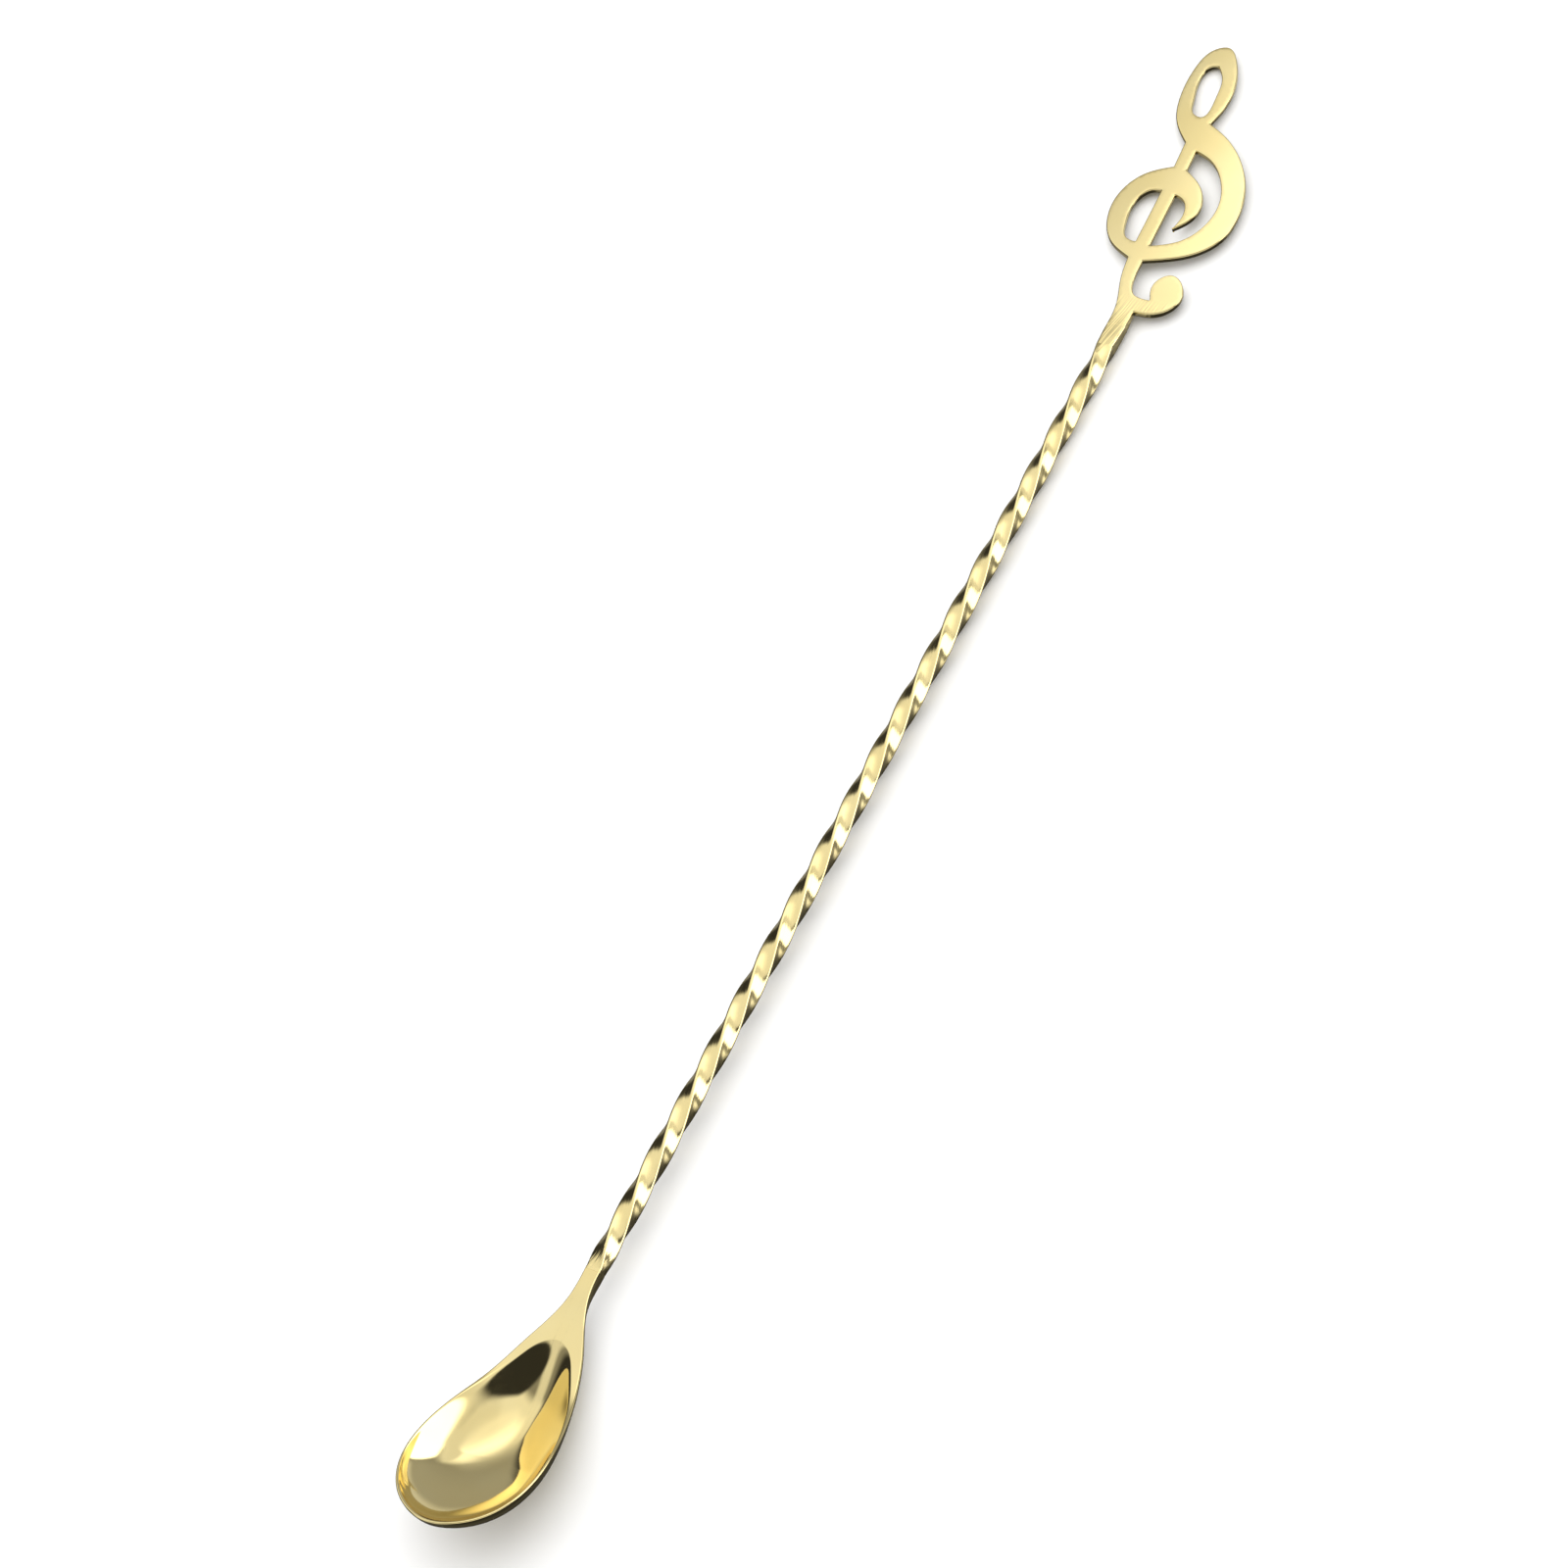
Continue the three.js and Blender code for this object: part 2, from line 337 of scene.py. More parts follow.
def round_corner(before, corner, after, steps):
    """Points of a small round that replaces a corner, from the point before to the point after."""
    u = np.linspace(0, 1, steps)[:, None]
    return before * (1 - u) ** 2 + 2 * corner * u * (1 - u) + after * u**2


# ---------------------------------------------------------------- bowl
def sampled(curve, count):
    """The curve's points again, evenly spaced along its length."""
    length = np.concatenate([[0], np.cumsum(np.linalg.norm(np.diff(curve, axis=0), axis=1))])
    want = np.linspace(0, length[-1], count)
    return np.stack([np.interp(want, length, axis) for axis in curve.T], 1)


def rim_half():
    """The right half of the rim, from the tip to the neck's end."""
    full = spline([(-x, y, z) for x, y, z in RIM[:0:-1]] + RIM, 2 * RIM_SAMPLES + 1)
    return full[RIM_SAMPLES:]


def hollow_radius(angle):
    """How far the hollow's outline is from the dish's centre. Angle 0 looks towards the tip."""
    mirrored = [(-x, y) for x, y in HOLLOW]
    outline = spline(mirrored[3:0:-1] + HOLLOW + mirrored[-2:-5:-1], 4 * RIM_SAMPLES)
    away = outline - DISH_CENTRE
    turn = np.arctan2(away[:, 0], -away[:, 1])
    right = (outline[:, 0] > -PAST_MIDDLE) & (turn > -PAST_ANGLE)
    order = np.argsort(turn[right])
    return np.interp(angle, turn[right][order], np.linalg.norm(away[right], axis=1)[order])


def dish_depth(share, reach):
    """The dish's depth, from 1 at its centre to 0 at its edge: an arc whose radius is reach."""
    low = math.sqrt(reach**2 - 1)
    return (np.sqrt(reach**2 - share**2) - low) / (reach - low)


def underside(points, rim):
    """Height of the bowl's back at points (x, y): full sections at the tip, a bar at the neck."""
    y = points[:, 1]
    half = np.maximum(np.interp(y, rim[:, 1], rim[:, 0]), 1e-6)
    top = np.interp(y, rim[:, 1], rim[:, 2])
    power = SIDE_POWER + (BACK_NECK_POWER - SIDE_POWER) * smoothstep(y, *BACK_POWER_CHANGE)
    full = (half / rim[:, 0].max()) ** (2 * power)
    past = np.clip((HOLLOW[0][1] - y) / ARCH_LENGTH, 0, 1)
    deep = DISH_DEPTH * full * (1 - (1 - past) ** 2) ** ARCH_POWER
    floor = SHEET + (NECK_THICKNESS - SHEET) * smoothstep(y, *FLOOR_CHANGE)
    edge = edge_height(y)
    deep = deep + (floor - edge) * np.minimum(1, full * BACK_FULLNESS)
    return top - edge - deep * np.maximum(0, 1 - (points[:, 0] / half) ** 2) ** power


def edge_height(y):
    return RIM_EDGE + (NECK_THICKNESS - RIM_EDGE) * smoothstep(y, *EDGE_CHANGE)


def bowl_profiles():
    """One line of points for each ray, from the dish's centre over the rim to the back's middle."""
    rim = rim_half()
    across_end = np.linspace(rim[-1, 0], 0, NECK_END_POINTS)[1:]
    end = np.stack([across_end, np.full(len(across_end), rim[-1, 1])], 1)
    outline = sampled(np.vstack([rim[:, :2], end]), BOWL_RAYS + 1)
    tangent = np.gradient(outline, axis=0)
    tangent /= np.linalg.norm(tangent, axis=1)[:, None]
    tangent[0], tangent[-1] = (1, 0), (-1, 0)
    inward = np.stack([-tangent[:, 1], tangent[:, 0]], 1)

    def top(y):
        return np.interp(y, rim[:, 1], rim[:, 2])

    profiles = []
    for place, across in zip(outline, inward):
        soft = place + across * RIM_ROUND
        away = soft - DISH_CENTRE
        angle = math.atan2(max(away[0], 0), -away[1])
        reach = hollow_radius(angle)
        direction = away / np.linalg.norm(away)
        direction[0] = max(direction[0], 0)
        bend = TIP_REACH + (SIDE_REACH - TIP_REACH) * smoothstep(angle, *TIP_TURN)
        bend += (NECK_REACH - SIDE_REACH) * smoothstep(angle, *REACH_TURN)
        last = math.asin(1 - HOLLOW_ROUND / 2 / reach)
        share = np.sin(np.linspace(0, last, DISH_COLUMNS))
        plan = DISH_CENTRE + np.outer(share * reach, direction)
        middle = 1 - ((plan - DISH_CENTRE) ** 2) @ CENTRE_CURVE
        slack = 1 + NECK_SLACK * smoothstep(angle, *REACH_TURN)
        arc = dish_depth(share, bend) ** slack
        depth = middle + (arc - middle) * smoothstep(share, *CENTRE_BLEND)
        height = top(plan[:, 1]) - DISH_DEPTH * depth
        dish = np.column_stack([plan, height])

        def lifted(flat, z=None):
            return np.array([flat[0], flat[1], top(flat[1]) if z is None else z])

        lip = DISH_CENTRE + direction * reach
        shoulder = DISH_CENTRE + direction * min(reach + HOLLOW_ROUND, np.linalg.norm(away))
        hollow_edge = round_corner(dish[-1], lifted(lip), lifted(shoulder), ROUND_STEPS)[1:]
        land_shares = np.arange(1, LAND_COLUMNS) / LAND_COLUMNS
        land = np.array([lifted(shoulder + (soft - shoulder) * share) for share in land_shares])
        corner = lifted(place)
        low = corner[2] - edge_height(place[1])
        below = place + across * BACK_ROUND
        wall_top = lifted(place, corner[2] - RIM_ROUND)
        rim_round = round_corner(lifted(soft), corner, wall_top, ROUND_STEPS + 1)
        wall_low = lifted(place, low + BACK_ROUND * BACK_RISE)
        bottom = lifted(below, float(underside(below[None], rim)[0]))
        back_round = round_corner(wall_low, lifted(place, low), bottom, ROUND_STEPS)
        middle = np.array([0, min(DISH_CENTRE[1], BACK_MIDDLE)])
        walk = np.linspace(0, 1, BACK_COLUMNS)[1:, None] ** BACK_WALK_POWER
        flat = below + (middle - below) * walk
        back = np.column_stack([flat, underside(flat, rim)])
        profiles.append(np.vstack([dish, hollow_edge, land, rim_round, back_round, back]))
    return np.array(profiles)


def bowl():
    """The bowl and its neck: the right half's profiles and their mirror image, joined in a ring."""
    right = bowl_profiles()
    left = right[-2:0:-1] * (-1, 1, 1)
    rows = np.vstack([right, left])
    count, size = rows.shape[:2]
    faces = []
    for r in range(count):
        here, there = r * size, (r + 1) % count * size
        faces += [(here + k, here + k + 1, there + k + 1, there + k) for k in range(size - 1)]
    return mesh_object("spoon_bowl", rows.reshape(-1, 3), faces)


# ---------------------------------------------------------------- shank and welds
def shank():
    """The twisted bar. Its straight points give the drawn lines that follow the twist."""
    section = bar_section(BAR_SIDE, BAR_CORNER)
    low, high = SHANK[0] - FUSE, SHANK[1] + FUSE
    points, faces = skin(twist_rows(section, low, high, SHANK_ROWS))
    places = np.linspace(low, high, SHANK_ROWS + 1)
    straight = [(x, y, z) for y in places for x, z in section]
    return mesh_object("twisted_bar", points, faces, straight)


def lower_weld():
    """The dressed weld: the bar's turned section runs into the neck's end."""
    low, high = LOWER_WELD[0] - WELD_LAP, LOWER_WELD[1] + 2 * FUSE
    rows = []
    for share in np.linspace(0, 1, WELD_ROWS[0]):
        y = low + (high - low) * share
        side = NECK_HALF_WIDTH * 2 + WELD_PROUD
        side += (BAR_SIDE - side) * smoothstep(share, 0, 1)
        height = NECK_THICKNESS + WELD_PROUD
        height += (BAR_SIDE - height) * smoothstep(share, 0, 1)
        section = bar_section(1, WELD_CORNER) * (side, height)
        turned = turn_section(section, twist_angle(max(y, -TWIST_END)))
        rows.append([(x, y, z) for x, z in turned])
    points, faces = skin(rows)
    return mesh_object("neck_weld", points, faces)


def upper_weld():
    """The ground blend from the turned bar to the flat plate's root."""
    low, high = UPPER_WELD[0] - 2 * FUSE, PLATE_ROOT + ROOT_LAP
    section = bar_section(BAR_SIDE, BAR_CORNER)
    rows = []
    for y in np.linspace(low, high, WELD_ROWS[1]):
        share = smoothstep(y, low, high)
        turn = twist_angle(min(y, TWIST_END)) - twist_angle(TWIST_END)
        turned = turn_section(section, turn)
        width = 1 + ((ROOT_RIGHT - ROOT_LEFT) / BAR_SIDE - 1) * share
        middle = (ROOT_RIGHT + ROOT_LEFT) / 2 * share
        height = (tail_thickness(y) + WELD_PROUD / 2) / BAR_SIDE
        rows.append([(middle + x * width, y, z * height) for x, z in turned])
    points, faces = skin(rows)
    return mesh_object("plate_weld", points, faces)


def tail_thickness(y):
    """The bar is ground down to the plate's thickness in one long shallow taper."""
    return PLATE_THICKNESS + (BAR_SIDE - PLATE_THICKNESS) * (1 - smoothstep(y, *TAIL_TAPER))


# ---------------------------------------------------------------- clef plate
def path(start, *stretches):
    """A closed outline from stretches: one point is a straight run, more are a smooth curve."""
    points = [np.array([start], float)]
    at = start
    for stretch in stretches:
        if len(stretch) == 1:
            count = max(2, int(math.dist(at, stretch[0]) / OUTLINE_STEP))
            run = np.linspace(at, stretch[0], count + 1)
        else:
            length = sum(math.dist(a, b) for a, b in zip([at, *stretch], stretch))
            run = spline([at, *stretch], max(4, int(length / OUTLINE_STEP)))
        points.append(run[1:])
        at = stretch[-1]
    outline = np.vstack(points)
    closes = math.dist(outline[0], outline[-1]) < SAME_PLACE
    return outline[:-1] if closes else outline


def soften(outline, radius):
    """Rounds the outline's sharp corners to about the radius, and leaves its smooth runs alone."""
    points = [np.array(p) for p in outline]
    result = []
    count = len(points)
    for k in range(count):
        a, b, c = points[k - 1], points[k], points[(k + 1) % count]
        u, v = (b - a) / np.linalg.norm(b - a), (c - b) / np.linalg.norm(c - b)
        bend = math.acos(max(-1, min(1, float(u @ v))))
        if bend < SHARP:
            result.append(b)
            continue
        shorter = min(np.linalg.norm(b - a), np.linalg.norm(c - b)) * CORNER_SIDE_SHARE
        cut = min(radius * math.tan(bend / 2), OUTLINE_STEP * CORNER_STEP_SHARE, shorter)
        result += list(round_corner(b - u * cut, b, b + v * cut, ROUND_STEPS))
    return np.array(result)


def clef_outlines():
    """The plate's outline, then its three openings: the loop's, the belly's and the ring's."""
    outer = path(
        (-3.1, 154.1),
        [
            (-2.0, 159.9), (-2.6, 165.2), (-4.7, 170.2), (-7.7, 173.1), (-10.3, 172.0),
            (-11.9, 168.0), (-11.9, 161.0), (-9.6, 153.5), (-5.8, 148.9),
        ],
        [(-5.4, 142.8)],
        [(-10.4, 140.1), (-13.1, 135.2), (-12.7, 128.9), (-9.4, 123.3), (-4.6, 120.3)],
        [(-3.9, 115.4), (-2.3, 109.8), (ROOT_LEFT, PLATE_ROOT)],
        [(ROOT_RIGHT, PLATE_ROOT)],
        [(1.6, 108.6)],
        [(5.3, 108.9), (8.2, 111.4), (8.1, 115.9), (4.9, 118.1), (2.6, 115.6), (3.4, 111.8)],
        [(0.1, 112.4), (-1.5, 116.2), (-1.6, 120.0)],
        [
            (5.6, 122.9), (9.7, 127.4), (10.8, 134.4), (9.3, 141.4), (5.7, 147.4),
            (0.9, 151.8), (-3.1, 154.1),
        ],
    )
    loop = path(
        (-7.5, 168.2),
        [
            (-5.7, 165.6), (-4.7, 160.2), (-5.6, 155.4), (-6.9, 155.8), (-8.8, 159.6),
            (-9.8, 164.8), (-8.9, 167.8), (-7.5, 168.2),
        ],
    )
    belly = path(
        (-2.9, 147.2),
        [(0.4, 145.7), (4.3, 141.6), (6.4, 135.9), (6.0, 130.9), (3.2, 126.1), (-1.9, 123.6)],
        [(-2.3, 136.3)],
        [(-0.3, 135.3), (1.1, 132.0), (0.5, 128.2)],
        [(2.8, 131.0), (3.5, 134.7), (1.6, 139.0), (-2.7, 142.4)],
        [(-2.9, 147.2)],
    )
    ring = path(
        (-5.2, 136.9),
        [(-4.8, 124.1)],
        [(-6.6, 124.6), (-8.8, 128.9), (-9.1, 133.4), (-7.3, 136.5), (-5.2, 136.9)],
    )
    return [soften(outline, CLEF_CORNER) for outline in (outer, loop, belly, ring)]


def inset(outline, distance):
    """The outline moved into the metal on its left by a distance, corner by corner."""
    before = outline - np.roll(outline, 1, axis=0)
    after = np.roll(outline, -1, axis=0) - outline
    before /= np.linalg.norm(before, axis=1)[:, None]
    after /= np.linalg.norm(after, axis=1)[:, None]
    along = before + after
    normal = np.stack([-along[:, 1], along[:, 0]], 1)
    normal /= np.linalg.norm(normal, axis=1)[:, None]
    left = np.stack([-before[:, 1], before[:, 0]], 1)
    share = np.clip((normal * left).sum(1), MITRE_LIMIT, 1)
    return outline + normal * (distance / share)[:, None]


def area(outline):
    """The area inside an outline, positive where it runs anticlockwise."""
    x, y = outline.T
    return 0.5 * float(np.sum(x * np.roll(y, -1) - y * np.roll(x, -1)))


def plate_rings(outline):
    """Rings up the plate's edge: a quarter round at the back, a wall, a quarter round in front."""
    half = PLATE_THICKNESS / 2
    turns = np.linspace(0, math.pi / 2, ROUND_STEPS)
    rings = []
    for side, order in ((-1, turns[::-1]), (1, turns)):
        for turn in order:
            ring = inset(outline, PLATE_ROUND * (1 - math.cos(turn)))
            height = side * (half - PLATE_ROUND * (1 - math.sin(turn)))
            rings.append(np.column_stack([ring, np.full(len(ring), height)]))
    return rings


def plate_face(rings):
    """
    The plate's face in even triangles: the points' places, the triangles, and for each point its
    number along the rings, or None where it lies inside the face.
    """
    edge = [Vector(xy) for ring in rings for xy in ring]
    grid = [Vector(xy) for xy in clef_grid(rings)]
    sides, first = [], 0
    for ring in rings:
        size = len(ring)
        sides += [(first + k, first + (k + 1) % size) for k in range(size)]
        first += size
    found, _, triangles, origins, *_ = delaunay_2d_cdt(edge + grid, sides, [], 0, MERGE)
    places = np.array([co[:] for co in found])
    middles = np.array([places[list(triangle)].mean(0) for triangle in triangles])
    metal = inside(middles, rings)
    triangles = [triangle for triangle, keep in zip(triangles, metal) if keep]
    numbers = [origin[0] if origin and origin[0] < len(edge) else None for origin in origins]
    return places, triangles, numbers


def clef():
    """The plate: rounded edges, faces in even triangles, a thicker tail and a slight crown."""
    points, faces, rims = [], [], []
    for k, outline in enumerate(clef_outlines()):
        anticlockwise = area(outline) > 0
        metal_on_left = anticlockwise == (k == 0)
        rings = plate_rings(outline if metal_on_left else outline[::-1])
        size, start = len(outline), len(points)
        points += np.vstack(rings).tolist()
        for r in range(len(rings) - 1):
            for n in range(size):
                here = start + r * size + n
                there = start + r * size + (n + 1) % size
                faces.append((here, there, there + size, here + size))
        back_ids = start + np.arange(size)
        face_ids = len(points) - size + np.arange(size)
        rims.append((back_ids, face_ids, rings[0][:, :2]))

    places, triangles, numbers = plate_face([ring for _, _, ring in rims])
    half = PLATE_THICKNESS / 2
    for level, height, step in ((0, -half, -1), (1, half, 1)):
        edge_ids = np.concatenate([rim[level] for rim in rims])
        ids = []
        for place, number in zip(places, numbers):
            if number is None:
                ids.append(len(points))
                points.append([*place, height])
            else:
                ids.append(int(edge_ids[number]))
        faces += [tuple(ids[k] for k in triangle[::step]) for triangle in triangles]

    points = np.array(points)
    points[:, 2] *= tail_thickness(points[:, 1]) / PLATE_THICKNESS
    crown = (CROWN_HALF_WIDTH**2 - points[:, 0] ** 2) / (2 * CROWN_RADIUS)
    points[:, 2] += crown * smoothstep(points[:, 1], *CROWN_START)
    return mesh_object("clef_plate", points, faces)


def inside(points, rings):
    """Which points lie in the metal: inside the outline and in none of the openings."""
    found = np.zeros(len(points), bool)
    for ring in rings:
        for (ax, ay), (bx, by) in zip(ring, np.roll(ring, -1, axis=0)):
            crosses = (ay > points[:, 1]) != (by > points[:, 1])
            where = ax + (points[:, 1] - ay) / (by - ay + 1e-12) * (bx - ax)
            found ^= crosses & (points[:, 0] < where)
    return found


def clef_grid(rings):
    """Points inside the plate's face, off its edges, for an even mesh."""
    low, high = rings[0].min(0), rings[0].max(0)
    rows = []
    for j, y in enumerate(np.arange(low[1], high[1], GRID_STEP * GRID_ROW)):
        shift = GRID_STEP / 2 * (j % 2)
        rows += [(x + shift, y) for x in np.arange(low[0], high[0], GRID_STEP)]
    grid = np.array(rows)
    grid = grid[inside(grid, rings)]
    edge = np.vstack(rings)
    near = np.array([np.min(np.sum((edge - g) ** 2, axis=1)) for g in grid])
    return grid[near > (GRID_STEP * GRID_CLEAR) ** 2]


LAY = lay_matrix()
pieces = {
    "bowl": bowl(),
    "lower_weld": lower_weld(),
    "twisted_shank": shank(),
    "upper_weld": upper_weld(),
    "clef_finial": clef(),
}
SLOTS = {
    "bowl": "polished_bowl",
    "lower_weld": "dressed_weld",
    "twisted_shank": "twisted_bar",
    "upper_weld": "dressed_weld",
    "clef_finial": "satin_plate",
}
for node_name, piece in pieces.items():
    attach(piece, "root")
    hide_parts(node_name)


# ---------------------------------------------------------------- materials
# Texture scales are in cycles per metre, and depths of relief are in metres.

def material(name):
    """A metal: the material, its node tree and its Principled shader."""
    mat = bpy.data.materials.new(name)
    mat.use_nodes = True
    shader = mat.node_tree.nodes["Principled BSDF"]
    shader.inputs["Metallic"].default_value = 1
    return mat, mat.node_tree, shader


def object_place(tree):
    return tree.nodes.new("ShaderNodeTexCoord").outputs["Object"]


def grain_place(tree):
    """Places on the bar as it was before it was twisted."""
    place = tree.nodes.new("ShaderNodeAttribute")
    place.attribute_name = GRAIN
    return place.outputs["Vector"]


def mapped(tree, source, scale=(1, 1, 1), turn=0):
    """Texture coordinates, scaled on each axis and turned about the vertical."""
    mapping = tree.nodes.new("ShaderNodeMapping")
    mapping.inputs["Scale"].default_value = scale
    mapping.inputs["Rotation"].default_value = (0, 0, turn)
    tree.links.new(source, mapping.inputs["Vector"])
    return mapping.outputs["Vector"]


def noise(tree, vector, scale, detail=3):
    made = tree.nodes.new("ShaderNodeTexNoise")
    made.inputs["Scale"].default_value = scale
    made.inputs["Detail"].default_value = detail
    tree.links.new(vector, made.inputs["Vector"])
    return made.outputs["Fac"]


def ranged(tree, value, low, high, source=NOISE_RANGE):
    """The value's range stretched to low and high. By default it is the middle of a noise."""
    made = tree.nodes.new("ShaderNodeMapRange")
    made.inputs["From Min"].default_value, made.inputs["From Max"].default_value = source
    made.inputs["To Min"].default_value, made.inputs["To Max"].default_value = low, high
    tree.links.new(value, made.inputs["Value"])
    return made.outputs["Result"]


def tint(tree, value, first, second):
    """A colour between two, by a noise."""
    ramp = tree.nodes.new("ShaderNodeValToRGB")
    for element, position, colour in zip(ramp.color_ramp.elements, NOISE_RANGE, (first, second)):
        element.position = position
        element.color = (*colour, 1)
    tree.links.new(value, ramp.inputs["Fac"])
    return ramp.outputs["Color"]


def bump(tree, height, distance, under=None):
    """Surface relief of the given depth, on top of the relief under it."""
    made = tree.nodes.new("ShaderNodeBump")
    made.inputs["Strength"].default_value = 1
    made.inputs["Distance"].default_value = distance
    tree.links.new(height, made.inputs["Height"])
    if under is not None:
        tree.links.new(under, made.inputs["Normal"])
    return made.outputs["Normal"]


def gold_colour(tree, shader, place, scale):
    """The plating's colour, with slow shade changes."""
    clouds = noise(tree, place, scale, detail=2)
    tree.links.new(tint(tree, clouds, GOLD_DEEP, GOLD), shader.inputs["Base Color"])


def grinding_lines(tree, place):
    """Coarse straight lines that a belt leaves, slanted a little off the spoon's length."""
    slanted = mapped(tree, place, turn=BELT_SLANT)
    return noise(tree, mapped(tree, slanted, scale=(1, 0.03, 0.4)), scale=2300, detail=2)


def polished_bowl():
    """Mirror-polished plating: faint waves from pressing, hairlines, and clean colour."""
    mat, tree, shader = material("polished_gold")
    place = object_place(tree)
    gold_colour(tree, shader, place, scale=90)
    hairs = noise(tree, mapped(tree, place, scale=(1, 0.06, 1)), scale=9000, detail=2)
    smears = noise(tree, place, scale=260)
    mixed = tree.nodes.new("ShaderNodeMath")
    mixed.operation = "MULTIPLY"
    tree.links.new(hairs, mixed.inputs[0])
    tree.links.new(smears, mixed.inputs[1])
    roughness = ranged(tree, mixed.outputs[0], low=0.035, high=0.11, source=(0.15, 0.4))
    tree.links.new(roughness, shader.inputs["Roughness"])
    waves = bump(tree, noise(tree, place, scale=220, detail=1), distance=0.000012)
    fine = bump(tree, hairs, distance=0.0000004, under=waves)
    tree.links.new(fine, shader.inputs["Normal"])
    return mat


def twisted_bar():
    """Drawn bar: fine lines that follow the twist, and small ripples."""
    mat, tree, shader = material("twisted_gold")
    straight = grain_place(tree)
    gold_colour(tree, shader, straight, scale=70)
    lines = noise(tree, mapped(tree, straight, scale=(1, 0.02, 1)), scale=2600)
    tree.links.new(ranged(tree, lines, low=0.08, high=0.24), shader.inputs["Roughness"])
    ripples = bump(tree, noise(tree, straight, scale=330, detail=1), distance=0.00004)
    drawn = bump(tree, lines, distance=0.000014, under=ripples)
    tree.links.new(drawn, shader.inputs["Normal"])
    return mat


def satin_plate():
    """Lapped plate: a soft sheen, very fine grain across it, and belt marks on its tail."""
    mat, tree, shader = material("satin_gold")
    place = object_place(tree)
    gold_colour(tree, shader, place, scale=60)
    grain = noise(tree, mapped(tree, place, scale=(0.06, 1, 1)), scale=9000)
    tree.links.new(ranged(tree, grain, low=0.13, high=0.2), shader.inputs["Roughness"])
    slow = bump(tree, noise(tree, place, scale=60, detail=1), distance=0.00006)
    fine = bump(tree, grain, distance=0.0000003, under=slow)
    marks = bump(tree, grinding_lines(tree, place), distance=0.00011, under=fine)
    split = tree.nodes.new("ShaderNodeSeparateXYZ")
    tree.links.new(place, split.inputs["Vector"])
    end, start = (LAY.translation.y + y * MM for y in BELT_MARKS)
    marked = ranged(tree, split.outputs["Y"], low=1, high=0, source=(start, end))
    tree.links.new(marked, marks.node.inputs["Strength"])
    tree.links.new(marks, shader.inputs["Normal"])
    return mat


def dressed_weld():
    """A weld that was filed flush and plated over: coarse slanted file marks."""
    mat, tree, shader = material("dressed_gold")
    place = object_place(tree)
    gold_colour(tree, shader, place, scale=150)
    marks = grinding_lines(tree, place)
    tree.links.new(ranged(tree, marks, low=0.1, high=0.2), shader.inputs["Roughness"])
    ripples = bump(tree, noise(tree, place, scale=300, detail=1), distance=0.00002)
    filed = bump(tree, marks, distance=0.00009, under=ripples)
    tree.links.new(filed, shader.inputs["Normal"])
    return mat


def pale_floor():
    """A matt, nearly even white."""
    mat = bpy.data.materials.new("pale_floor")
    mat.use_nodes = True
    tree = mat.node_tree
    shader = tree.nodes["Principled BSDF"]
    shade = tuple(FLOOR_SHADE * c for c in FLOOR_COLOUR)
    clouds = noise(tree, object_place(tree), scale=3)
    tree.links.new(tint(tree, clouds, shade, FLOOR_COLOUR), shader.inputs["Base Color"])
    shader.inputs["Roughness"].default_value = 0.9
    shader.inputs["Specular IOR Level"].default_value = 0.1
    return mat


# ---------------------------------------------------------------- floor, surroundings and camera
def floor():
    """
    The pale floor. It is hidden from glossy rays, so the metal's lower faces mirror the studio
    round it, pale and dark, and not one even white.
    """
    mesh = bpy.data.meshes.new("floor")
    bm = bmesh.new()
    bmesh.ops.create_circle(bm, cap_ends=True, segments=FLOOR_SIDES, radius=FLOOR_RADIUS)
    bm.to_mesh(mesh)
    bm.free()
    mesh.materials.append(pale_floor())
    made = bpy.data.objects.new("floor", mesh)
    made.location.z = min(cad_box[0][2], 0) - FLOOR_GAP
    bpy.context.scene.collection.objects.link(made)
    made.visible_glossy = False


def surroundings():
    """The studio round the spoon, by direction: grey walls with soft bright and dark cards."""
    world = bpy.data.worlds.new("studio")
    bpy.context.scene.world = world
    world.use_nodes = True
    tree = world.node_tree
    toward = tree.nodes.new("ShaderNodeTexCoord").outputs["Generated"]
    walls = tree.nodes.new("ShaderNodeRGB")
    walls.outputs[0].default_value = (WALLS, WALLS, WALLS, 1)
    seen = walls.outputs[0]
    for card in CARDS:
        seen = add_card(tree, toward, seen, *card)
    tree.links.new(seen, tree.nodes["Background"].inputs["Color"])


def maths(tree, operation, *values):
    """A Math node's result for numbers and sockets."""
    made = tree.nodes.new("ShaderNodeMath")
    made.operation = operation
    for socket, value in zip(made.inputs, values):
        if isinstance(value, (int, float)):
            socket.default_value = value
        else:
            tree.links.new(value, socket)
    return made.outputs[0]


def within(tree, across, half, soft):
    """1 where a tangent is inside half an angle either way, falling to 0 over a soft edge."""
    edge = tree.nodes.new("ShaderNodeMapRange")
    edge.interpolation_type = "SMOOTHSTEP"
    edge.inputs["From Min"].default_value = math.tan(math.radians(half + soft / 2))
    edge.inputs["From Max"].default_value = math.tan(math.radians(half - soft / 2))
    tree.links.new(maths(tree, "ABSOLUTE", across), edge.inputs["Value"])
    return edge.outputs["Result"]


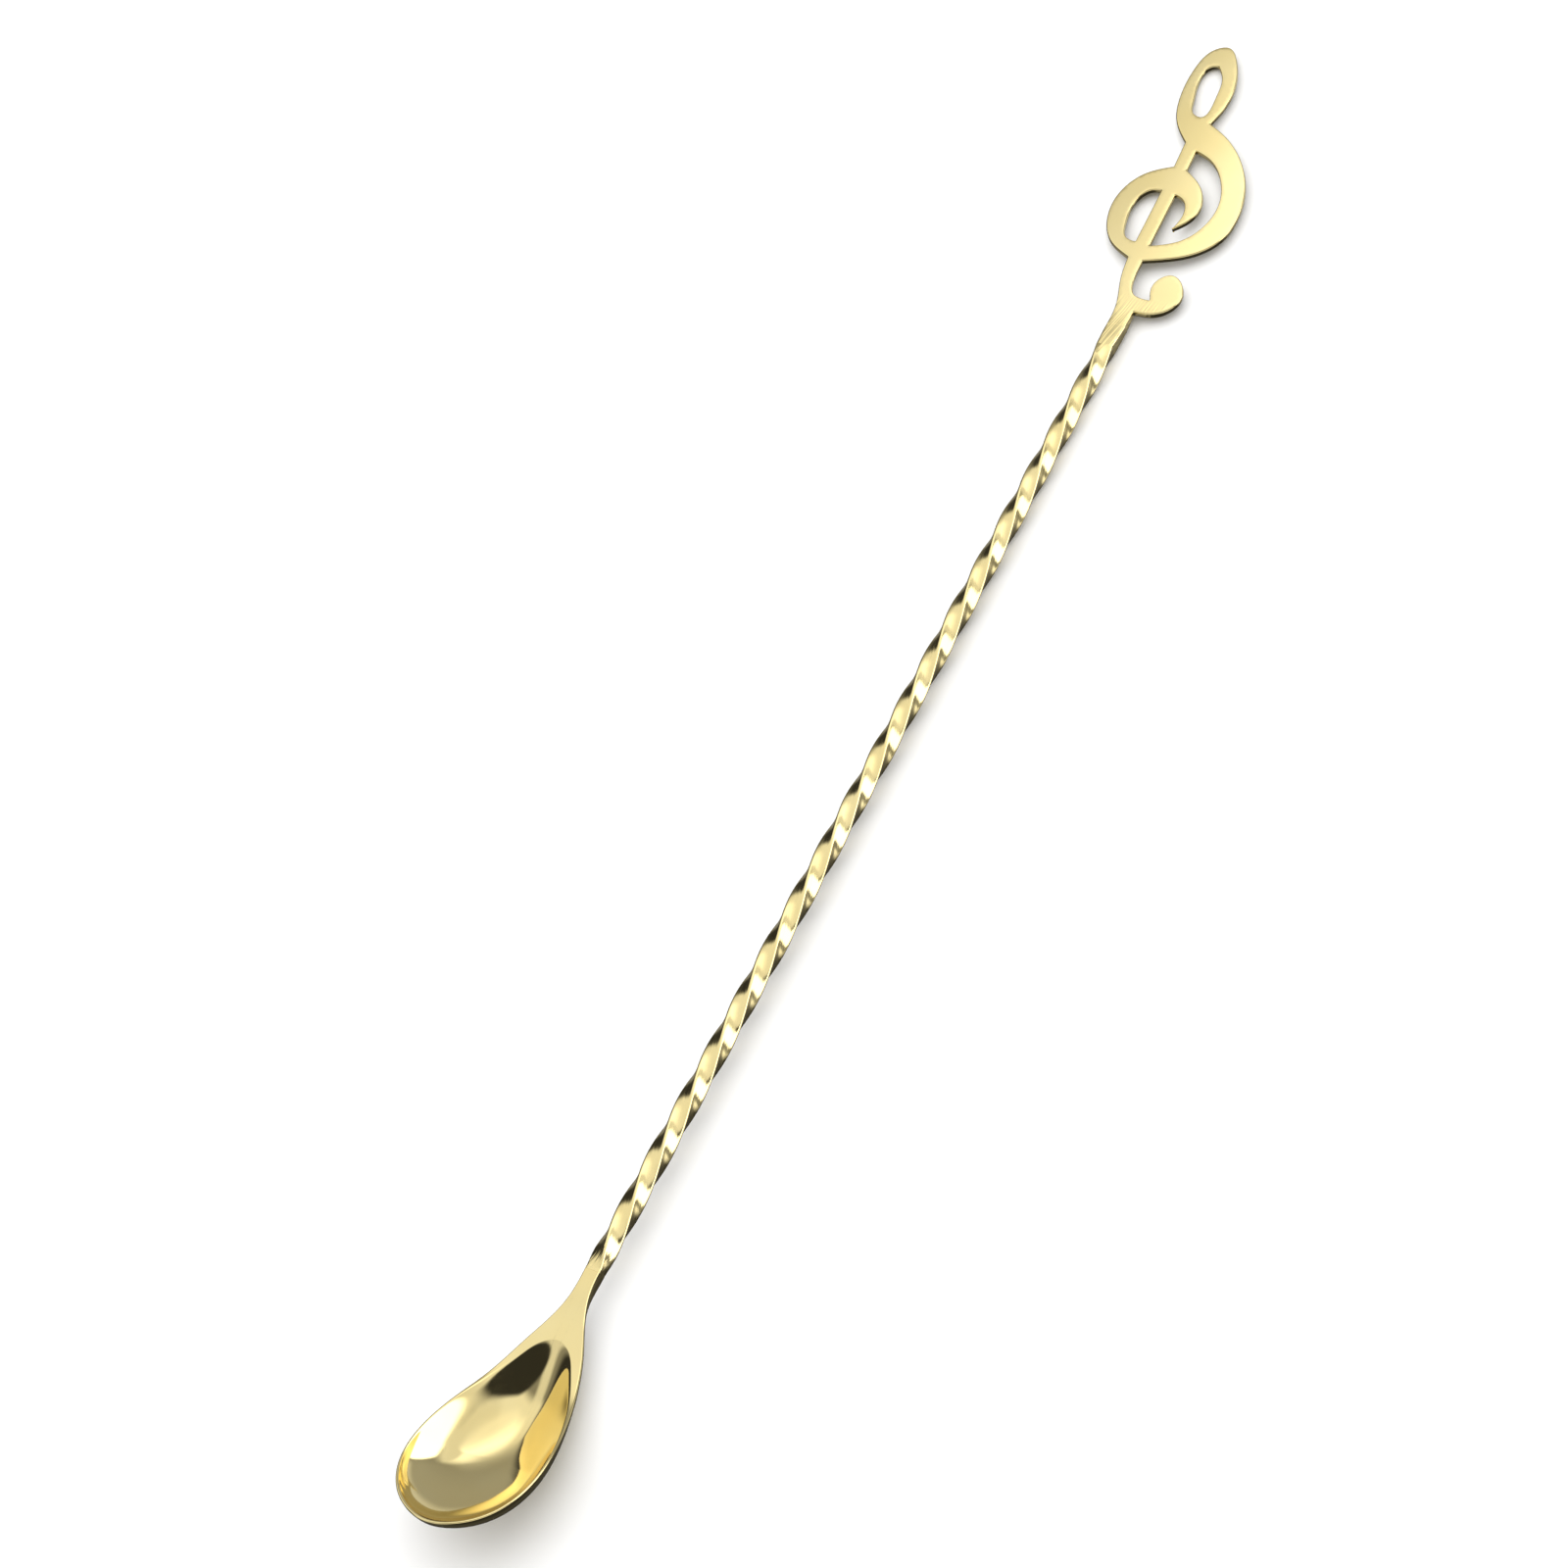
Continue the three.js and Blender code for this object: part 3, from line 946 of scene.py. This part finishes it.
def add_card(tree, toward, under, azimuth, elevation, half_width, half_height, soft, brightness):
    """A soft-edged rectangle on the sky. Azimuth 0 is +Y and 90 is +X; angles are in degrees."""
    turned = tree.nodes.new("ShaderNodeMapping")
    turned.vector_type = "TEXTURE"
    turned.inputs["Rotation"].default_value = (math.radians(elevation), 0, -math.radians(azimuth))
    tree.links.new(toward, turned.inputs["Vector"])
    split = tree.nodes.new("ShaderNodeSeparateXYZ")
    tree.links.new(turned.outputs["Vector"], split.inputs["Vector"])
    ahead = maths(tree, "MAXIMUM", split.outputs["Y"], AHEAD)
    across = within(tree, maths(tree, "DIVIDE", split.outputs["X"], ahead), half_width, soft)
    up = within(tree, maths(tree, "DIVIDE", split.outputs["Z"], ahead), half_height, soft)
    mix = tree.nodes.new("ShaderNodeMix")
    mix.data_type = "RGBA"
    factor, below, above = (mix.inputs[index] for index in MIX_INPUTS)
    above.default_value = (brightness, brightness, brightness, 1)
    tree.links.new(maths(tree, "MULTIPLY", across, up), factor)
    tree.links.new(under, below)
    return mix.outputs[MIX_OUTPUT]


def fill_light():
    """A broad lamp from the left that lights the floor. It is hidden from glossy rays."""
    azimuth, elevation = (math.radians(v) for v in FILL_FROM)
    toward = Vector((
        math.sin(azimuth) * math.cos(elevation),
        math.cos(azimuth) * math.cos(elevation),
        math.sin(elevation),
    ))
    data = bpy.data.lights.new("fill", "SUN")
    data.energy = FILL_STRENGTH
    data.angle = FILL_ANGLE
    made = bpy.data.objects.new("fill", data)
    made.rotation_mode = "QUATERNION"
    made.rotation_quaternion = toward.to_track_quat("Z", "Y")
    made.visible_glossy = False
    bpy.context.scene.collection.objects.link(made)


def camera():
    """The camera looks at the spoon's face from its lower right, with the spoon leaning right."""
    position = Vector(CAMERA_TARGET) + Vector(CAMERA_FROM).normalized() * CAMERA_DISTANCE
    back = (position - Vector(CAMERA_AIM)).normalized()
    up = (Vector((0, 1, 0)) - back * back.y).normalized()
    right = up.cross(back)
    lens_right = right * math.cos(CAMERA_LEAN) + up * math.sin(CAMERA_LEAN)
    lens_up = -right * math.sin(CAMERA_LEAN) + up * math.cos(CAMERA_LEAN)
    data = bpy.data.cameras.new("camera")
    data.lens = CAMERA_LENS
    data.sensor_width = CAMERA_SENSOR
    data.clip_start, data.clip_end = CAMERA_CLIP
    cam = bpy.data.objects.new("camera", data)
    bpy.context.scene.collection.objects.link(cam)
    turn = Matrix((lens_right, lens_up, back)).transposed().to_4x4()
    cam.matrix_world = LAY @ Matrix.Translation(position * MM) @ turn
    bpy.context.scene.camera = cam


MATERIALS = {
    "polished_bowl": polished_bowl(),
    "twisted_bar": twisted_bar(),
    "satin_plate": satin_plate(),
    "dressed_weld": dressed_weld(),
}
for node_name, piece in pieces.items():
    piece.data.materials.append(MATERIALS[SLOTS[node_name]])

floor()
surroundings()
fill_light()
camera()
bpy.context.scene.view_settings.view_transform = "Standard"
